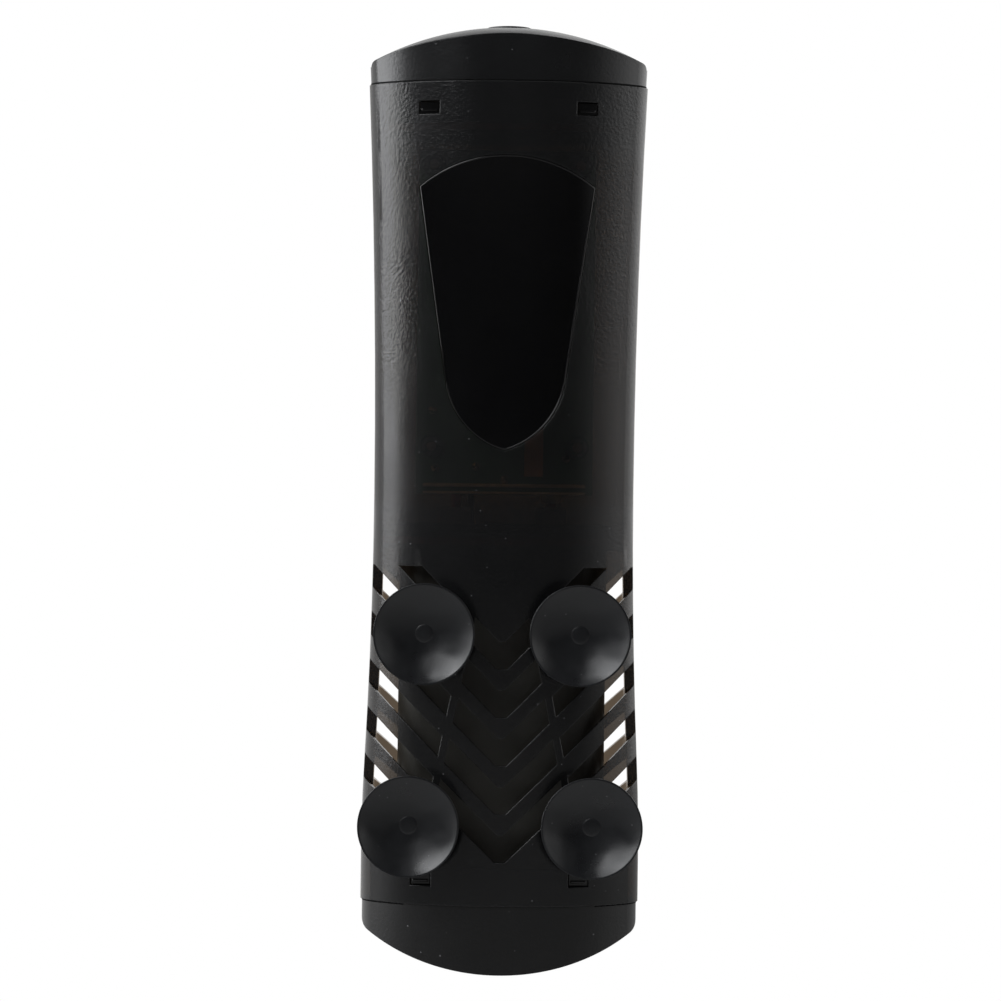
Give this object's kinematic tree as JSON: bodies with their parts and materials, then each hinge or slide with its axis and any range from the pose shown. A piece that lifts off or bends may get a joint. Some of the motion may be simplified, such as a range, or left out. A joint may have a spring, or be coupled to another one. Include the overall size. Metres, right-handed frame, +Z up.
{
  "type": "submersible aquarium heater",
  "caption": "Flat waisted submersible aquarium heater in a smoked black case with a chevron grille, arched end caps, turning suction cups, push keys and a cable gland.",
  "frame": {"origin": "in the plane of the four cup rims, which is the glass, halfway between the upper and the lower pair of cups, on the case's middle line", "axes": "+Z up along the case's length towards the cable gland; +Y out of the cup side, towards the glass; -Y out of the display side; +X to the left when the cup side is seen upright"},
  "size_m": [0.0586, 0.0336, 0.1987],
  "materials": {
    "smoked_case": "satin smoked translucent moulding with a fine texture",
    "cap_plastic": "opaque satin black moulding",
    "smoked_cap": "satin black moulding",
    "gloss_skin": "plain glossy black inlay",
    "cup_rubber": "soft satin black rubber",
    "key_plastic": "light grey moulded key",
    "switch_plastic": "dark moulded switch",
    "seal_rubber": "red-brown silicone rubber",
    "board_laminate": "green lacquered laminate",
    "display_plastic": "black display block with light segments",
    "header_plastic": "cream moulded header",
    "screw_steel": "plated steel",
    "relay_plastic": "blue moulded relay case",
    "capacitor_can": "sleeved aluminium can",
    "film_resin": "tan dipped resin",
    "chip_plastic": "black moulded package",
    "solder_metal": "bright solder with a warm tint",
    "inner_plastic": "dark grey moulding",
    "gland_rubber": "black rubber",
    "core_plastic": "dark grey heat-resistant moulding",
    "sleeve_film": "amber insulating film",
    "spreader_metal": "bare aluminium",
    "electrode_brass": "bare brass sheet",
    "stone_ceramic": "fired grey ceramic",
    "potting_resin": "black cast resin",
    "lead_red": "red silicone insulation",
    "fuse_ceramic": "white ceramic tube",
    "probe_metal": "drawn stainless steel",
    "lead_black": "black insulation"
  },
  "bodies": {
    "case": {"rear_cover": "smoked_case", "front_cover": "smoked_case", "top_cap": "cap_plastic", "bottom_cap": "smoked_cap", "rear_label": "gloss_skin", "display_lens": "gloss_skin", "button_seals": "seal_rubber", "switch_bases": "switch_plastic", "display_board": "board_laminate", "led_display": "display_plastic", "board_header": "header_plastic", "circuit_board": "board_laminate", "board_screws": "screw_steel", "relay_block": "relay_plastic", "smoothing_capacitor": "capacitor_can", "film_capacitor": "film_resin", "controller_chip": "chip_plastic", "solder_joints": "solder_metal", "bulkhead": "inner_plastic", "bulkhead_seal": "seal_rubber", "top_seal": "seal_rubber", "cable_gland": "gland_rubber", "core_case": "core_plastic", "core_sleeve": "sleeve_film", "heat_spreaders": "spreader_metal", "electrodes": "electrode_brass", "heating_stones": "stone_ceramic", "core_potting": "potting_resin", "heater_leads": "lead_red", "thermal_fuse": "fuse_ceramic", "temperature_probe": "probe_metal", "sensor_lead": "lead_black"},
    "upper_left_sucker": {"upper_left_cup": "cup_rubber"},
    "upper_right_sucker": {"upper_right_cup": "cup_rubber"},
    "lower_left_sucker": {"lower_left_cup": "cup_rubber"},
    "lower_right_sucker": {"lower_right_cup": "cup_rubber"},
    "up_key": {"up_button": "key_plastic", "up_plunger": "switch_plastic"},
    "down_key": {"down_button": "key_plastic", "down_plunger": "switch_plastic"}
  },
  "joints": [
    {"name": "upper_left_turn", "type": "hinge", "parent": "case", "child": "upper_left_sucker", "pos_m": [0.0161, 0, 0.0198], "axis": [0, 1, 0], "continuous": true},
    {"name": "upper_right_turn", "type": "hinge", "parent": "case", "child": "upper_right_sucker", "pos_m": [-0.0161, 0, 0.0198], "axis": [0, 1, 0], "continuous": true},
    {"name": "lower_left_turn", "type": "hinge", "parent": "case", "child": "lower_left_sucker", "pos_m": [0.0189, 0, -0.0198], "axis": [0, 1, 0], "continuous": true},
    {"name": "lower_right_turn", "type": "hinge", "parent": "case", "child": "lower_right_sucker", "pos_m": [-0.0189, 0, -0.0198], "axis": [0, 1, 0], "continuous": true},
    {"name": "up_press", "type": "slide", "parent": "case", "child": "up_key", "axis": [0, 1, 0], "range_m": [0, 0.0005], "stiffness_N_per_m": 1500},
    {"name": "down_press", "type": "slide", "parent": "case", "child": "down_key", "axis": [0, 1, 0], "range_m": [0, 0.0005], "stiffness_N_per_m": 1500}
  ]
}
